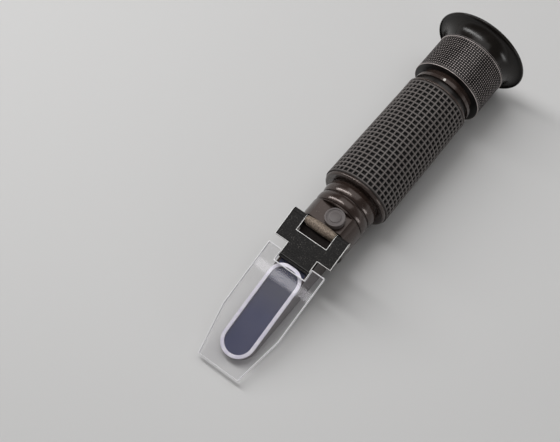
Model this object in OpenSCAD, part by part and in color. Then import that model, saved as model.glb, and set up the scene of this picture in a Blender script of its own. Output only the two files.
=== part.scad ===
// Hand-held refractometer: prism housing with a hinged daylight plate, grooved neck,
// rubber grip and a focusing eyepiece with a flared rubber cup.
// X is the optical axis and points from the eye to the prism, +Z leaves the daylight plate.
// The origin is the middle of the neck band, on the optical axis.

/* [Neck] */
// Outer radius of the neck bands and of the head
body_r = 11.8; // [11:0.1:13]
// Length of the rear neck band
neck_band = 3.4; // [2.5:0.1:4]
// Width of the groove between the two neck bands
groove_w = 2.6; // [2:0.1:3]
// Depth of the neck grooves
groove_d = 0.9; // [0.4:0.1:1.2]
// Length of the front neck band
front_band = 3.2; // [2.5:0.1:4]
// Width of the groove between the front band and the head
head_groove = 0.9; // [0.6:0.1:1.6]
// Front shoulder of each neck band
band_shoulder = 0.6; // [0.3:0.1:0.9]
// Depth of the head's wall round the front spigot
head_wall = 3; // [2.8:0.1:3.2]
// Wall of the front spigot
spigot_wall = 1.6; // [1.2:0.1:2]
// Length of the front spigot in the head
spigot_len = 2.2; // [1.5:0.1:3]
// Length of the rear spigot in the tube
rear_spigot = 6; // [4:0.1:8]
// Depth of the seat for the aperture stop
stop_seat = 1; // [0.6:0.1:1.4]
// Thickness of the aperture stop
stop_t = 1; // [0.6:0.1:1.2]
// Radius of the aperture stop's opening
stop_r = 4; // [3:0.1:5]

/* [Head and prism housing] */
// Length of the round head in front of the neck
head_len = 12.6; // [12:0.1:15]
// Depth of the milled flat below the top of the head
flat_depth = 2.6; // [2.2:0.1:3]
// Lip left behind the milled flat
flat_lip = 0.3; // [0.2:0.1:0.6]
// Length of the shoulder between the head and the nose
shoulder_len = 8; // [6:0.1:10]
// Half width of the nose that holds the prism
nose_half = 7; // [6.6:0.1:7.3]
// Wall of the nose beside the prism
nose_wall = 1; // [0.8:0.1:1.4]
// Depth of the flat underside above the bottom of the head
base_cut = 0.8; // [0.4:0.1:1.2]
// Floor of the nose under the prism
nose_floor = 1.4; // [1:0.1:2]
// Radius of the light tunnel between the lens and the prism
tunnel_r = 4; // [3:0.1:4.3]
// Step between the spigot's seat and the lens cell's chamber
chamber_step = 1.4; // [1.2:0.1:1.6]
// Length of the chamber that holds the lens cell
chamber_len = 5.6; // [5.2:0.1:6]

/* [Hinge] */
// Distance from the head's front face back to the hinge axis
hinge_back = 1.7; // [1.5:0.1:1.9]
// Height of the hinge axis above the milled flat
hinge_rise = 0.25; // [0.1:0.05:0.6]
// Outer radius of the rolled clip ends
knuckle_r = 1.45; // [1.3:0.05:1.6]
// Rise of the rolled clip ends above the clip's top
roll_rise = 0.1; // [0.05:0.05:0.2]
// Inset of the rolled ends from the clip's side edges
roll_inset = 0.1; // [0.05:0.05:0.2]
// Radius of the hinge pin
pin_r = 0.75; // [0.6:0.05:0.85]
// Radial clearance of the clip on the hinge pin
pin_gap = 0.05; // [0.02:0.01:0.1]
// Middle radius of the crowned bronze barrel
barrel_r = 1.9; // [1.7:0.05:2]
// End radius of the crowned bronze barrel
barrel_end_r = 1.5; // [1.3:0.05:1.6]
// Room between the barrel and the wall behind it
barrel_back = 0.4; // [0.3:0.05:0.5]
// Room between the barrel and the milled seat below it
barrel_under = 0.27; // [0.2:0.01:0.4]
// Gap between the barrel and each rolled clip end
barrel_gap = 0.2; // [0.1:0.05:0.4]
// Thickness of the foot under the barrel
foot_t = 3; // [2.4:0.1:3.4]
// Depth of the foot in the housing
foot_depth = 2; // [1.4:0.1:2.4]
// Inset of the foot's ends from the rolled clip ends
foot_inset = 1; // [0.6:0.1:1.6]

/* [Daylight plate] */
// Slope of the daylight plate towards its free end
plate_slope = 15.4; // [14:0.1:17]
// Thickness of the clear plate
plate_t = 2; // [1.8:0.1:2.4]
// Overhang of the plate beside the clip
plate_over = 0.1; // [0:0.05:0.4]
// Narrowing of each side of the plate towards its free end
plate_narrow = 3.9; // [2:0.1:5]
// Distance along the plate from the hinge to its rear edge
plate_back = 15.4; // [15:0.1:16]
// Length of the parallel part of the plate
plate_straight = 30; // [26:0.1:33]
// Length of the tapered part of the plate
plate_taper = 21.3; // [19:0.1:24]
// Height of the oval pad under the plate
pad_t = 0.8; // [0.5:0.1:1]
// Half width of the oval pad
pad_half = 7.3; // [7:0.1:7.6]
// Bevelled border of the oval pad
pad_bevel = 0.7; // [0.4:0.1:0.75]
// Distance along the plate from the hinge to the pad's rear end
pad_back = 18.4; // [17:0.1:20]
// Distance from the pad's front end to the plate's free end
pad_front_gap = 5.8; // [4:0.1:8]
// Film gap between the pad and the prism
film_gap = 0.15; // [0.1:0.05:0.3]
// Distance from the nose tip to the pad's front end
nose_tip_gap = 0.3; // [0.1:0.1:1]
// Distance along the plate from the hinge to the prism's rear end
prism_back = 11; // [10.8:0.1:12]

/* [Hinge clip] */
// Thickness of the clip
clip_t = 1.2; // [1:0.05:1.4]
// Width of the clip
clip_w = 26.8; // [24:0.1:28]
// Half width of the notch and of the tongue
tongue_half = 7.1; // [6.5:0.1:7.5]
// Distance along the clip from the hinge to the notch floor
notch_s = 5.9; // [4:0.1:7]
// Distance along the clip from the hinge to the arms' front edge
arm_s = 11.8; // [10:0.1:13]
// Distance along the clip from the hinge to the tongue's step
tongue_step = 17; // [16:0.1:18]
// Distance along the clip from the hinge to the tongue's end
tongue_s = 20.3; // [19:0.1:21]
// Depth of the plate's pocket under the tongue
pocket_d = 1.6; // [1.4:0.05:1.7]
// Thickness of the tongue's lowered end
tongue_low_t = 0.8; // [0.6:0.05:1]
// Side and end clearance of the tongue in its pocket
tongue_gap = 0.1; // [0.05:0.05:0.2]

/* [Adjusting screw] */
// Distance from the head's rear face to the screw
screw_in = 4.65; // [4.6:0.05:4.7]
// Offset of the screw from the middle plane
screw_y = 2.1; // [1:0.1:2.3]
// Radius of the screw's shank
screw_r = 1.2; // [1:0.05:1.4]
// Radial clearance of the shank
screw_gap = 0.05; // [0.02:0.01:0.1]
// Radius of the screw's head
screw_head_r = 2.2; // [2:0.1:2.6]
// Height of the screw's head
screw_head_h = 1.2; // [0.9:0.1:1.4]
// Reach of the screw below the milled flat
screw_reach = 3.7; // [3.6:0.1:3.8]
// Radius of the rubber cap
cap_r = 4.1; // [4:0.05:4.2]
// Height of the rubber cap
cap_h = 2.7; // [2.1:0.1:3]
// Radius of the raised disc on the cap
cap_disc_r = 3.1; // [2.6:0.1:3.4]
// Groove around the raised disc
cap_groove = 0.5; // [0.3:0.1:0.7]
// Depth of the groove around the raised disc
cap_groove_d = 0.35; // [0.2:0.05:0.5]
// Rounding of the cap's edge
cap_round = 0.4; // [0.2:0.1:0.6]
// Clearance of the cap round the screw's head
cap_gap = 0.1; // [0.05:0.05:0.2]

/* [Lens cell] */
// Room for the lens cell to move in its chamber
cell_room = 0.8; // [0.7:0.05:1]
// Wall of the lens cell
cell_wall = 2; // [1.8:0.05:2.2]
// Axial clearance of the lens cell in its chamber
cell_gap = 0.1; // [0.05:0.05:0.2]
// Room under the screw's tip in the lens cell
tip_room = 0.9; // [0.7:0.05:0.95]
// Edge thickness of the objective lens
objective_t = 2.2; // [1.6:0.1:2.4]
// Lip that holds the objective lens
lens_lip = 0.8; // [0.5:0.1:1]
// Bulge of the objective lens
objective_bulge = 0.9; // [0.5:0.1:1.2]
// Radius of the return spring
spring_r = 1.5; // [1.2:0.1:1.6]
// Radius of the return spring's wire
wire_r = 0.2; // [0.15:0.01:0.25]
// Depth of the return spring's well below the chamber
well_d = 2.2; // [1.8:0.1:2.4]
// Number of turns in the return spring
spring_turns = 4; // [3:1:6]

/* [Grip] */
// Length of the rubber grip
grip_len = 54.6; // [45:0.1:62]
// Radius of the grip at its front end
grip_front_r = 15; // [14.5:0.1:16]
// Radius of the grip at its rear end
grip_rear_r = 14.2; // [14:0.1:15]
// Number of pits along the grip
grip_rows = 24; // [12:1:24]
// Number of pits round the grip
grip_columns = 38; // [24:1:40]
// Plain margin at each end of the grip
grip_margin = 0.65; // [0.4:0.05:2]
// Width of the wall between two pits of the grip
pit_wall = 1.04; // [0.8:0.02:1.4]
// Depth of the grip's pits
pit_depth = 0.7; // [0.3:0.05:1]
// Turn of the first pit's wall from +Z towards +Y
pit_turn = 5.5; // [0:0.1:15]
// Radius of the tube under the grip
tube_r = 12.4; // [12.3:0.1:12.8]
// Wall of the tube under the grip
tube_wall = 1.2; // [1:0.1:1.4]
// Width of the ring at the front of the grip
front_ring_w = 1.4; // [1:0.1:1.8]
// Radius of the ring at the front of the grip
front_ring_r = 14.5; // [14:0.1:15]
// Width of the ring at the rear of the grip
rear_ring_w = 1; // [0.8:0.1:1.4]
// Radius of the ring at the rear of the grip
rear_ring_r = 14.3; // [13.6:0.1:14.6]
// Gap between the grip's front ring and the neck band
neck_gap = 1.3; // [1:0.1:2]
// Length of tube that shows behind the grip
tube_show = 2.9; // [2.4:0.1:4]

/* [Eyepiece] */
// Width of the flange at the tube's rear end
flange_w = 1.5; // [1.2:0.1:2]
// Radius of the flange
flange_r = 13.4; // [13:0.1:14]
// Length of the flange's bush in the tube
bush_len = 7; // [6:0.1:7.4]
// Radius of the sliding tube
draw_r = 10.2; // [10:0.05:10.3]
// Radial clearance of the sliding tube
draw_gap = 0.05; // [0.02:0.01:0.1]
// Length of the sliding tube in front of the focusing ring
draw_reach = 9; // [8:0.1:10]
// Gap between the flange and the focusing ring at mid travel
focus_gap = 2.6; // [2.4:0.1:3.4]
// Length of the focusing ring
ring_len = 18.2; // [16:0.1:20]
// Radius of the focusing ring's plain rims
ring_r = 15.7; // [15:0.1:16]
// Depth of the knurl's tips below the plain rims
tip_drop = 0.15; // [0.05:0.05:0.3]
// Depth of the knurl
knurl_d = 0.35; // [0.2:0.05:0.5]
// Number of knurl teeth round the ring
knurl_n = 90; // [48:1:96]
// Width of the plain rims of the focusing ring
rim_w = 1; // [0.6:0.1:1.6]
// Chamfer of the plain rims
rim_chamfer = 0.4; // [0.2:0.1:0.6]
// Thickness of the focusing ring's rear web
web_t = 3; // [2:0.1:4]
// Radius of the stepped seat for the cup
seat_r = 12.6; // [12:0.1:13]
// Length of the stepped seat for the cup
seat_len = 3; // [2:0.1:3.6]
// Radius of the collar that keeps the sliding tube in the ring
collar_r = 11.4; // [11.2:0.1:11.7]
// Thickness of the collar
collar_t = 1; // [0.8:0.1:1.4]
// Radius of the guide screw
guide_r = 0.6; // [0.5:0.05:0.7]
// Depth of the guide screw's tip in the sliding tube
guide_in = 0.5; // [0.3:0.05:0.6]
// Clearance of the guide screw in its slot
guide_gap = 0.08; // [0.05:0.01:0.1]
// Outer radius of the threaded sleeve under the focusing ring
sleeve_r = 12.2; // [12:0.05:12.4]
// Radial clearance between the sleeve and the focusing ring
sleeve_gap = 0.06; // [0.03:0.01:0.1]
// Overlap of the sleeve and the focusing ring at mid travel
sleeve_lap = 9; // [7:0.1:11]
// Outer radius of the clip that holds the ring on the sliding tube
clip_ring_r = 11.3; // [11:0.1:11.6]
// Thickness of the clip that holds the ring on the sliding tube
clip_ring_t = 0.8; // [0.6:0.05:1]
// Depth of the clip's groove in the sliding tube
clip_groove = 0.4; // [0.3:0.05:0.5]
// Focusing travel each way from rest
focus_travel = 2; // [1:0.1:2.2]

/* [Eyepiece glass] */
// Radius of the eyepiece lenses
eye_r = 9; // [8.6:0.1:9.1]
// Thickness of the lens at the front of the sliding tube
field_t = 2.4; // [2:0.1:3]
// Thickness of the lens at the eye
eye_t = 3.2; // [2.6:0.1:3.6]
// Bulge of the eyepiece lenses
lens_bulge = 1; // [0.6:0.1:1.3]
// Wall of the lens spacer
spacer_wall = 0.9; // [0.6:0.1:1.2]
// Width of the ring that keeps the eye lens
keeper_w = 1.6; // [1.2:0.1:2]
// Lip at the front of the sliding tube
draw_lip = 1; // [0.8:0.1:1.2]
// Length of the scale disc's cell
scale_cell_len = 5; // [4:0.1:6]
// Radius of the scale disc
scale_r = 9; // [8:0.1:9.4]
// Thickness of the scale disc
scale_t = 1.5; // [1:0.1:2]
// Radius of the opening in front of the scale disc
scale_open = 7; // [6:0.1:7.6]
// Gap between the sliding tube and the scale disc's cell at mid travel
scale_gap = 3; // [2.6:0.1:4]

/* [Eye cup] */
// Length of the flared cup behind the focusing ring
cup_len = 7.9; // [6.5:0.1:10]
// Outer radius at the root of the cup
cup_root_r = 15; // [14.6:0.1:15.6]
// Outer radius of the cup's lip
cup_lip_r = 20.9; // [18:0.1:22]
// Wall of the cup
cup_wall = 1.3; // [1:0.1:1.6]

/* [Hidden] */
$fn = 96;
hole_over = 1;
lens_seat = 0.02;
arc_steps = 12;
spigot_r = body_r - head_wall;
neck_bore = spigot_r - spigot_wall;
chamber_r = spigot_r - chamber_step;
cell_r = chamber_r - cell_room;
objective_r = cell_r - cell_wall;
flat_z = body_r - flat_depth;
base_z = body_r - base_cut;
hinge_z = flat_z + hinge_rise;
seat_z = hinge_z - barrel_r - barrel_under;
plate_w = clip_w + 2 * plate_over;
plate_tip_w = plate_w - 2 * plate_narrow;
foot_half = tongue_half - foot_inset;
groove_r = body_r - groove_d;
band_rear_x = -neck_band / 2;
band_front_x = neck_band / 2 + band_shoulder;
front_band_x = band_front_x + groove_w - band_shoulder;
front_band_end = front_band_x + front_band;
head_x = front_band_end + head_groove;
head_front = head_x + head_len;
chamber_x = head_x + spigot_len;
chamber_end = chamber_x + chamber_len;
hinge_x = head_front - hinge_back;
seat_x = hinge_x - barrel_r - barrel_back;
plate_end = plate_back + plate_straight + plate_taper;
pad_end = plate_end - pad_front_gap;
prism_drop = plate_t + pad_t + film_gap;
nose_end = pad_end - nose_tip_gap;
prism_half = nose_half - nose_wall;
prism_floor = -base_z + nose_floor;
pocket_end = tongue_s + tongue_gap;
screw_x = head_x + screw_in;
screw_tip_z = flat_z - screw_reach;
grip_front_x = band_rear_x - neck_gap - front_ring_w;
grip_rear_x = grip_front_x - grip_len;
pit_pitch = (grip_len - 2 * grip_margin) / grip_rows;
pit_step = 360 / grip_columns;
pit_arc = pit_step - pit_wall * 360 / (PI * (grip_front_r + grip_rear_r));
tube_bore = tube_r - tube_wall;
tube_front_x = grip_front_x;
stop_x = tube_front_x - rear_spigot;
flange_x = grip_rear_x - rear_ring_w - tube_show;
bush_r = draw_r + draw_gap;
ring_front_x = flange_x - flange_w - focus_gap;
ring_rear_x = ring_front_x - ring_len;
draw_front_x = ring_front_x + draw_reach;
scale_x = draw_front_x + scale_gap;
sleeve_end = ring_front_x - sleeve_lap;
web_x = ring_rear_x + web_t;
clip_ring_x = web_x + draw_gap;
cup_end_x = ring_rear_x - cup_len;
guide_x = flange_x - flange_w / 2;
slot_r = guide_r + guide_gap;
slot_floor = draw_r - guide_in - guide_gap;
well_r = spring_r + wire_r + 0.2;
well_bottom = -chamber_r - well_d;

// Turns a profile of [radius, x] points about the optical axis
module turned(points) {
    rotate([0, 90, 0])
        rotate_extrude()
            polygon(points);
}

// A plain cylinder along X between two stations
module along_x(x0, x1, r) {
    translate([x0, 0, 0])
        rotate([0, 90, 0])
            cylinder(h = x1 - x0, r = r);
}

// A plain ring along X between two stations
module ring_x(x0, x1, outer, inner) {
    difference() {
        along_x(x0, x1, outer);
        along_x(x0 - hole_over, x1 + hole_over, inner);
    }
}

// Places what follows on the sloping top plane of the plate: x runs from the hinge
module on_plate() {
    translate([hinge_x, 0, hinge_z])
        rotate([0, plate_slope, 0])
            translate([0, 0, knuckle_r - roll_rise])
                children();
}

// Outline on the plate's plane, straight at the rear and round at the front
module stadium(rear, front, half) {
    union() {
        translate([rear, -half])
            square([front - half - rear, 2 * half]);
        translate([front - half, 0])
            circle(r = half);
    }
}

// Outline of the pad: a full round end in front and rounded corners at the rear
module pad_outline(rear, front, half, corner) {
    union() {
        stadium(rear + corner, front, half);
        translate([rear, -half + corner])
            square([corner, 2 * (half - corner)]);
        for (side = [-1, 1])
            translate([rear + corner, side * (half - corner)])
                circle(r = corner);
    }
}

// Everything below the prism's own plane, down to the given height
module below_plane(bottom) {
    intersection() {
        on_plate()
            translate([-40, -40, -prism_drop - 60])
                cube([160, 80, 60]);
        translate([-40, -40, bottom])
            cube([200, 80, 60]);
    }
}

module head_blank() {
    union() {
        along_x(head_x, head_front, body_r);
        intersection() {
            turned(concat(
                [[0, head_front - hole_over], [body_r, head_front - hole_over]],
                [for (i = [0:arc_steps])
                    let (t = 90 * i / arc_steps)
                    [nose_half + (body_r - nose_half) * (1 - sin(t)),
                     head_front + shoulder_len * (1 - cos(t))]],
                [[0, head_front + shoulder_len]]));
            below_plane(-body_r - hole_over);
        }
        intersection() {
            on_plate()
                translate([0, 0, -60])
                    linear_extrude(height = 60 - prism_drop)
                        stadium(0, nose_end, nose_half);
            translate([hinge_x, -nose_half - hole_over, -base_z])
                cube([120, 2 * (nose_half + hole_over), 60]);
        }
    }
}

module prism_housing() {
    color([0.06, 0.055, 0.05])
    difference() {
        head_blank();
        translate([head_x + flat_lip, -body_r - hole_over, flat_z])
            cube([seat_x - head_x, 2 * (body_r + hole_over), body_r]);
        translate([seat_x, -body_r - hole_over, seat_z])
            cube([head_len, 2 * (body_r + hole_over), body_r]);
        translate([head_x - hole_over, -body_r, -base_z - body_r])
            cube([nose_end, 2 * body_r, body_r]);
        translate([hinge_x - foot_t / 2, -foot_half, seat_z - foot_depth])
            cube([foot_t, 2 * foot_half, body_r]);
        along_x(head_x - hole_over, chamber_x, spigot_r);
        along_x(chamber_x - hole_over, chamber_end, chamber_r);
        along_x(chamber_end - hole_over, head_front + shoulder_len + 2, tunnel_r);
        translate([screw_x, screw_y, 0])
            cylinder(h = body_r, r = screw_r + screw_gap);
        translate([screw_x, 0, well_bottom])
            cylinder(h = chamber_r + well_d, r = well_r);
        prism_pocket();
    }
}

// The space in the nose that the prism fills
module prism_pocket() {
    intersection() {
        on_plate()
            translate([0, 0, -60])
                linear_extrude(height = 60 + hole_over)
                    stadium(prism_back, nose_end - nose_wall, prism_half);
        translate([hinge_x, -nose_half, prism_floor])
            cube([120, 2 * nose_half, 60]);
    }
}

module prism() {
    color([0.42, 0.5, 0.62, 0.6])
    intersection() {
        prism_pocket();
        on_plate()
            translate([0, -nose_half, -60])
                cube([nose_end, 2 * nose_half, 60 - prism_drop]);
    }
}

module hinge_knuckle() {
    half = tongue_half - barrel_gap;
    color([0.62, 0.53, 0.4])
    difference() {
        union() {
            translate([hinge_x, 0, hinge_z])
                rotate([-90, 0, 0])
                    rotate_extrude()
                        polygon(concat(
                            [[0, -half]],
                            [for (i = [0:arc_steps])
                                let (u = -1 + 2 * i / arc_steps)
                                [barrel_end_r + (barrel_r - barrel_end_r) * (1 - u * u), u * half]],
                            [[0, half]]));
            translate([hinge_x - foot_t / 2, -foot_half, seat_z - foot_depth])
                cube([foot_t, 2 * foot_half, hinge_z - seat_z + foot_depth]);
        }
        translate([hinge_x, -half - hole_over, hinge_z])
            rotate([-90, 0, 0])
                cylinder(h = 2 * (half + hole_over), r = pin_r);
    }
}

module hinge_pin() {
    color([0.72, 0.7, 0.67])
    translate([hinge_x, -clip_w / 2, hinge_z])
        rotate([-90, 0, 0])
            cylinder(h = clip_w, r = pin_r);
}

module hinge_clip() {
    color([0.09, 0.085, 0.08])
    difference() {
        union() {
            on_plate()
                translate([0, 0, -clip_t])
                    linear_extrude(height = clip_t)
                        union() {
                            for (side = [-1, 1])
                                translate([0, side * (clip_w / 2 + tongue_half) / 2])
                                    translate([0, -(clip_w / 2 - tongue_half) / 2])
                                        square([notch_s + 1, clip_w / 2 - tongue_half]);
                            translate([notch_s, -clip_w / 2])
                                square([arm_s - notch_s, clip_w]);
                            translate([arm_s - 1, -tongue_half])
                                square([tongue_step - arm_s + 1, 2 * tongue_half]);
                        }
            on_plate()
                translate([tongue_step - tongue_low_t, -tongue_half, -pocket_d])
                    cube([tongue_s - tongue_step + tongue_low_t, 2 * tongue_half, tongue_low_t]);
            for (side = [-1, 1])
                translate([hinge_x, side * (clip_w / 2 + tongue_half) / 2, hinge_z])
                    rotate([-90, 0, 0])
                        cylinder(h = clip_w / 2 - tongue_half - 2 * roll_inset, r = knuckle_r,
                                 center = true);
        }
        translate([hinge_x, -clip_w, hinge_z])
            rotate([-90, 0, 0])
                cylinder(h = 2 * clip_w, r = pin_r + pin_gap);
    }
}

module daylight_plate() {
    straight_end = plate_back + plate_straight;
    color([0.78, 0.76, 0.78, 0.45])
    on_plate()
        union() {
            difference() {
                translate([0, 0, -plate_t])
                    linear_extrude(height = plate_t)
                        polygon([[plate_back, -plate_w / 2], [straight_end, -plate_w / 2],
                                 [plate_end, -plate_tip_w / 2], [plate_end, plate_tip_w / 2],
                                 [straight_end, plate_w / 2], [plate_back, plate_w / 2]]);
                translate([plate_back - hole_over, -tongue_half - tongue_gap, -pocket_d])
                    cube([pocket_end - plate_back + hole_over,
                          2 * (tongue_half + tongue_gap), plate_t]);
            }
            translate([0, 0, -plate_t - pad_t])
                linear_extrude(height = pad_t)
                    pad_outline(pad_back, pad_end, pad_half, pad_half / 2);
        }
}

module calibration_cap() {
    color([0.14, 0.13, 0.13])
    translate([screw_x, screw_y, flat_z])
        rotate_extrude()
            polygon([[screw_head_r + cap_gap, 0], [cap_r, 0], [cap_r, cap_h - cap_round],
                     [cap_r - cap_round, cap_h], [cap_disc_r + cap_groove, cap_h],
                     [cap_disc_r + cap_groove, cap_h - cap_groove_d],
                     [cap_disc_r, cap_h - cap_groove_d], [cap_disc_r, cap_h],
                     [0, cap_h], [0, screw_head_h + cap_gap],
                     [screw_head_r + cap_gap, screw_head_h + cap_gap]]);
}

module calibration_screw() {
    slot_w = 0.5;
    slot_depth = 0.5;
    color([0.7, 0.58, 0.3])
    translate([screw_x, screw_y, flat_z])
        difference() {
            union() {
                translate([0, 0, -screw_reach])
                    cylinder(h = screw_reach + screw_head_h / 2, r = screw_r);
                cylinder(h = screw_head_h, r = screw_head_r);
            }
            translate([-screw_head_r - hole_over, -slot_w / 2, screw_head_h - slot_depth])
                cube([2 * (screw_head_r + hole_over), slot_w, screw_head_h]);
        }
}

module objective_cell() {
    front = chamber_end - cell_gap;
    rear = chamber_x + cell_gap;
    color([0.1, 0.1, 0.1])
    difference() {
        along_x(rear, front, cell_r);
        along_x(rear - hole_over, front + hole_over, objective_r - lens_lip);
        along_x(rear - hole_over, front - lens_lip, objective_r);
        translate([screw_x, screw_y, screw_tip_z - tip_room])
            cylinder(h = chamber_r, r = screw_r + screw_gap);
    }
}

// The return spring, a round wire wound along Z
module cell_spring() {
    sides = 8;
    steps = 16 * spring_turns;
    low = well_bottom + wire_r;
    high = -cell_r - wire_r;
    points = [for (i = [0:steps], j = [0:sides - 1])
        let (a = 360 * spring_turns * i / steps, b = 360 * j / sides,
             r = spring_r + wire_r * cos(b))
        [r * cos(a), r * sin(a), low + (high - low) * i / steps + wire_r * sin(b)]];
    skin = [for (i = [0:steps - 1], j = [0:sides - 1])
        let (k = (j + 1) % sides)
        [i * sides + j, i * sides + k, (i + 1) * sides + k, (i + 1) * sides + j]];
    caps = [[for (j = [0:sides - 1]) sides - 1 - j], [for (j = [0:sides - 1]) steps * sides + j]];
    color([0.75, 0.74, 0.72])
    translate([screw_x, 0, 0])
        polyhedron(points = points, faces = concat([for (f = skin) [f[3], f[2], f[1], f[0]]],
            [for (f = caps) [for (j = [0:sides - 1]) f[sides - 1 - j]]]));
}

module objective_lens() {
    front = chamber_end - cell_gap - lens_lip;
    bulge = objective_bulge;
    rear = front - objective_t;
    color([0.7, 0.78, 0.85, 0.4])
    turned(concat(
        [[0, rear], [objective_r, rear], [objective_r, front - bulge]],
        [for (i = [0:arc_steps])
            let (u = 1 - i / arc_steps)
            [(objective_r - lens_lip) * u, front - bulge * u * u * (objective_r - lens_lip) / objective_r]]));
}

module objective_ring() {
    rear = chamber_x + cell_gap;
    front = chamber_end - cell_gap - lens_lip - objective_t;
    color([0.16, 0.16, 0.16])
    ring_x(rear, front, objective_r, objective_r - lens_lip);
}

module neck_sleeve() {
    color([0.05, 0.048, 0.045])
    difference() {
        turned([[0, stop_x], [tube_bore, stop_x], [tube_bore, grip_front_x],
                [groove_r, grip_front_x], [groove_r, band_rear_x], [body_r, band_rear_x],
                [body_r, -band_rear_x], [groove_r, band_front_x], [groove_r, front_band_x],
                [body_r, front_band_x], [body_r, front_band_end - band_shoulder],
                [groove_r, front_band_end], [groove_r, head_x], [spigot_r, head_x],
                [spigot_r, chamber_x], [0, chamber_x]]);
        along_x(stop_x - hole_over, chamber_x + hole_over, neck_bore);
        along_x(stop_x - hole_over, stop_x + 2 * stop_t, neck_bore + stop_seat);
    }
}

module aperture_stop() {
    color([0.1, 0.1, 0.1])
    ring_x(stop_x + stop_t, stop_x + 2 * stop_t, neck_bore + stop_seat, stop_r);
}

module body_tube() {
    color([0.12, 0.12, 0.12])
    ring_x(flange_x, tube_front_x, tube_r, tube_bore);
}

// Radius of the grip's skin at x
function skin_r(x) = grip_rear_r + (grip_front_r - grip_rear_r) * (x - grip_rear_x) / grip_len;

// A length of plain grip from x0 to x1
module grip_length(x0, x1) {
    turned([[tube_r, x0], [skin_r(x0), x0], [skin_r(x1), x1], [tube_r, x1]]);
}

// A pit in the grip from x0 to x1, with its middle on +Z
module grip_pit(x0, x1) {
    rotate([0, -90, 0])
        rotate([0, 0, -pit_arc / 2])
            rotate_extrude(angle = pit_arc)
                polygon([[skin_r(x0) - pit_depth, -x0], [skin_r(x0) + hole_over, -x0],
                         [skin_r(x1) + hole_over, -x1], [skin_r(x1) - pit_depth, -x1]]);
}

// One row of pits round the grip, from x on
module grip_row(x) {
    difference() {
        grip_length(x, x + pit_pitch);
        for (i = [0:grip_columns - 1])
            rotate([-pit_turn - pit_step * (i + 0.5), 0, 0])
                grip_pit(x + pit_wall / 2, x + pit_pitch - pit_wall / 2);
    }
}

module grip_sleeve() {
    color([0.1, 0.1, 0.1])
    union() {
        grip_length(grip_rear_x, grip_rear_x + grip_margin);
        for (i = [0:grip_rows - 1])
            grip_row(grip_rear_x + grip_margin + pit_pitch * i);
        grip_length(grip_front_x - grip_margin, grip_front_x);
    }
}

module grip_front_ring() {
    edge = front_ring_w / 2;
    front = grip_front_x + front_ring_w;
    color([0.06, 0.06, 0.06])
    turned(concat(
        [[groove_r, grip_front_x], [front_ring_r, grip_front_x]],
        [for (i = [0:arc_steps])
            let (t = 90 * i / arc_steps)
            [front_ring_r - edge * (1 - cos(t)), front - edge + edge * sin(t)]],
        [[groove_r, front]]));
}

module grip_rear_ring() {
    color([0.06, 0.06, 0.06])
    ring_x(grip_rear_x - rear_ring_w, grip_rear_x, rear_ring_r, tube_r);
}

module reticle_cell() {
    color([0.15, 0.15, 0.15])
    difference() {
        along_x(scale_x, scale_x + scale_cell_len, tube_bore);
        along_x(scale_x - hole_over, scale_x + scale_cell_len + hole_over, scale_open);
        along_x(scale_x - hole_over, scale_x + scale_cell_len - 1, scale_r);
    }
}

module reticle() {
    front = scale_x + scale_cell_len - 1;
    color([0.75, 0.8, 0.85, 0.4])
    along_x(front - scale_t, front, scale_r);
}

module reticle_ring() {
    front = scale_x + scale_cell_len - 1 - scale_t;
    color([0.2, 0.2, 0.2])
    ring_x(scale_x, front, scale_r, scale_open);
}

module eyepiece_flange() {
    color([0.1, 0.1, 0.1])
    difference() {
        union() {
            along_x(flange_x - flange_w, flange_x, flange_r);
            along_x(flange_x - hole_over, flange_x + bush_len, tube_bore);
            along_x(sleeve_end, flange_x, sleeve_r);
        }
        along_x(sleeve_end - hole_over, flange_x + bush_len + hole_over, bush_r);
        translate([guide_x, 0, 0])
            cylinder(h = flange_r + hole_over, r = guide_r);
    }
}

module guide_screw() {
    color([0.6, 0.6, 0.6])
    translate([guide_x, 0, draw_r - guide_in])
        cylinder(h = flange_r - draw_r + guide_in, r = guide_r);
}

module draw_tube() {
    collar_x = ring_rear_x - seat_len + collar_t;
    rear_x = ring_rear_x - seat_len;
    color([0.13, 0.13, 0.13])
    difference() {
        union() {
            along_x(rear_x, draw_front_x, draw_r);
            along_x(rear_x, collar_x, collar_r);
        }
        along_x(rear_x - hole_over, draw_front_x + hole_over, eye_r - draw_lip);
        along_x(rear_x - hole_over, draw_front_x - draw_lip, eye_r);
        translate([guide_x - focus_travel, -slot_r, slot_floor])
            cube([2 * focus_travel, 2 * slot_r, draw_r]);
        for (side = [-1, 1])
            translate([guide_x + side * focus_travel, 0, slot_floor])
                cylinder(h = draw_r, r = slot_r);
        ring_x(clip_ring_x, clip_ring_x + clip_ring_t, draw_r + hole_over, draw_r - clip_groove);
    }
}

// A lens with one bulging face, turned about the optical axis
module plano_lens(flat_x, thickness, direction) {
    turned(concat(
        [[0, flat_x], [eye_r, flat_x], [eye_r, flat_x + direction * (thickness - lens_bulge)]],
        [for (i = [1:arc_steps])
            let (u = 1 - i / arc_steps)
            [eye_r * u, flat_x + direction * (thickness - lens_bulge * u * u)]]));
}

// Open spring clip in the sliding tube's groove, in front of the ring's web
module ring_clip() {
    gap = 3;
    color([0.55, 0.55, 0.55])
    difference() {
        ring_x(clip_ring_x, clip_ring_x + clip_ring_t, clip_ring_r, draw_r - clip_groove);
        translate([clip_ring_x - hole_over, -gap / 2, 0])
            cube([clip_ring_t + 2 * hole_over, gap, clip_ring_r + hole_over]);
    }
}

module field_lens() {
    color([0.7, 0.78, 0.85, 0.4])
    plano_lens(draw_front_x - draw_lip, field_t, -1);
}

module lens_spacer() {
    crown = lens_bulge * pow((eye_r - spacer_wall) / eye_r, 2) - lens_seat;
    front = draw_front_x - draw_lip - field_t + crown;
    rear = ring_rear_x - seat_len + keeper_w + eye_t - crown;
    color([0.15, 0.15, 0.15])
    ring_x(rear, front, eye_r, eye_r - spacer_wall);
}

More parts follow.
